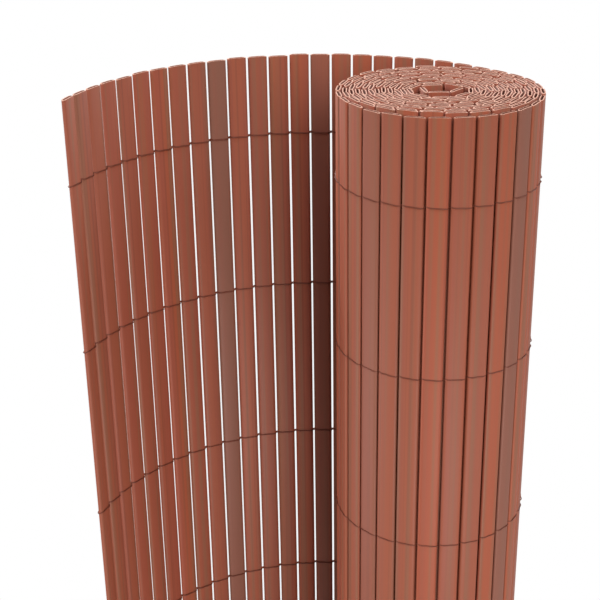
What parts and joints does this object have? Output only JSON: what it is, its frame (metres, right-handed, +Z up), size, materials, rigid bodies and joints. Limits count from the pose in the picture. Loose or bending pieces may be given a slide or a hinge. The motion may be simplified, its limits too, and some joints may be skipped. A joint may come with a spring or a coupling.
{
  "type": "pvc privacy screen",
  "caption": "Privacy screen mat of flat hollow plastic slats stitched with rows of twisted wire, standing as a roll with its outer end unrolled in a wide bend.",
  "frame": {"origin": "on the floor, under the middle of the whole screen's box", "axes": "+Z up along the slats, +X to the right as one faces the roll with the unrolled end on the left, +Y away from that viewer"},
  "size_m": [0.2564, 0.1416, 0.902],
  "materials": {
    "pvc_slat": "satin extruded PVC in mottled red-brown with fine streaks along the slat",
    "binding_wire": "thin steel wire in a dark brown plastic coat"
  },
  "bodies": {
    "root": {"core_tail_slats": "pvc_slat", "roll_turn_01": "pvc_slat", "roll_turn_02": "pvc_slat", "roll_turn_03": "pvc_slat", "roll_turn_04": "pvc_slat", "roll_turn_05": "pvc_slat", "roll_turn_06": "pvc_slat", "roll_turn_07": "pvc_slat", "roll_turn_08": "pvc_slat", "roll_turn_09": "pvc_slat", "roll_turn_10": "pvc_slat", "roll_turn_11": "pvc_slat", "roll_turn_12": "pvc_slat", "stitch_wire_1": "binding_wire", "stitch_wire_2": "binding_wire", "stitch_wire_3": "binding_wire", "stitch_wire_4": "binding_wire", "stitch_wire_5": "binding_wire", "stitch_wire_6": "binding_wire", "stitch_wire_7": "binding_wire", "stitch_wire_8": "binding_wire", "stitch_wire_9": "binding_wire", "unrolled_slat_01": "pvc_slat", "unrolled_slat_02": "pvc_slat", "unrolled_slat_03": "pvc_slat", "unrolled_slat_04": "pvc_slat", "unrolled_slat_05": "pvc_slat", "unrolled_slat_06": "pvc_slat", "unrolled_slat_07": "pvc_slat", "unrolled_slat_08": "pvc_slat", "unrolled_slat_09": "pvc_slat", "unrolled_slat_10": "pvc_slat", "unrolled_slat_11": "pvc_slat", "unrolled_slat_12": "pvc_slat", "unrolled_slat_13": "pvc_slat", "unrolled_slat_14": "pvc_slat", "unrolled_slat_15": "pvc_slat", "unrolled_slat_16": "pvc_slat", "unrolled_slat_17": "pvc_slat", "unrolled_slat_18": "pvc_slat", "unrolled_slat_19": "pvc_slat", "unrolled_slat_20": "pvc_slat", "unrolled_slat_21": "pvc_slat", "unrolled_slat_22": "pvc_slat", "unrolled_slat_23": "pvc_slat", "unrolled_slat_24": "pvc_slat"}
  },
  "joints": []
}
